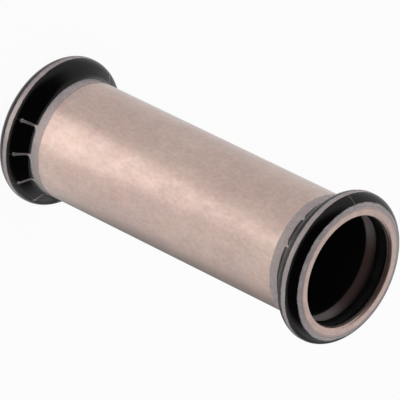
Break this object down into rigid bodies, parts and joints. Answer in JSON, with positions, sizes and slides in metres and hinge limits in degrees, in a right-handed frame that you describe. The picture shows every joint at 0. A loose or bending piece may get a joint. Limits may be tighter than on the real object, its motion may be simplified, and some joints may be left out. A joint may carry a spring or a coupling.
{
  "type": "sliding sleeve coupling",
  "caption": "Straight press-type slip coupling for metal pipe: a smooth-bored tube with a hollow bead, a seal ring and a tear-off indicator film at each end.",
  "frame": {"origin": "centre of the lower lip's flat, which is the bottom centre of the part's box", "axes": "+Z along the coupling's axis, from the lower mouth to the upper mouth"},
  "size_m": [0.0394, 0.0394, 0.1033],
  "materials": {
    "sleeve_metal": "satin pinkish-tan copper-nickel alloy, slightly clouded",
    "seal_rubber": "smooth black rubber",
    "printed_film": "clear film printed glossy black in two bands"
  },
  "bodies": {
    "root": {"sleeve_body": "sleeve_metal", "seal_ring_lower": "seal_rubber", "seal_ring_upper": "seal_rubber", "indicator_film_lower": "printed_film", "indicator_film_upper": "printed_film"}
  },
  "joints": []
}
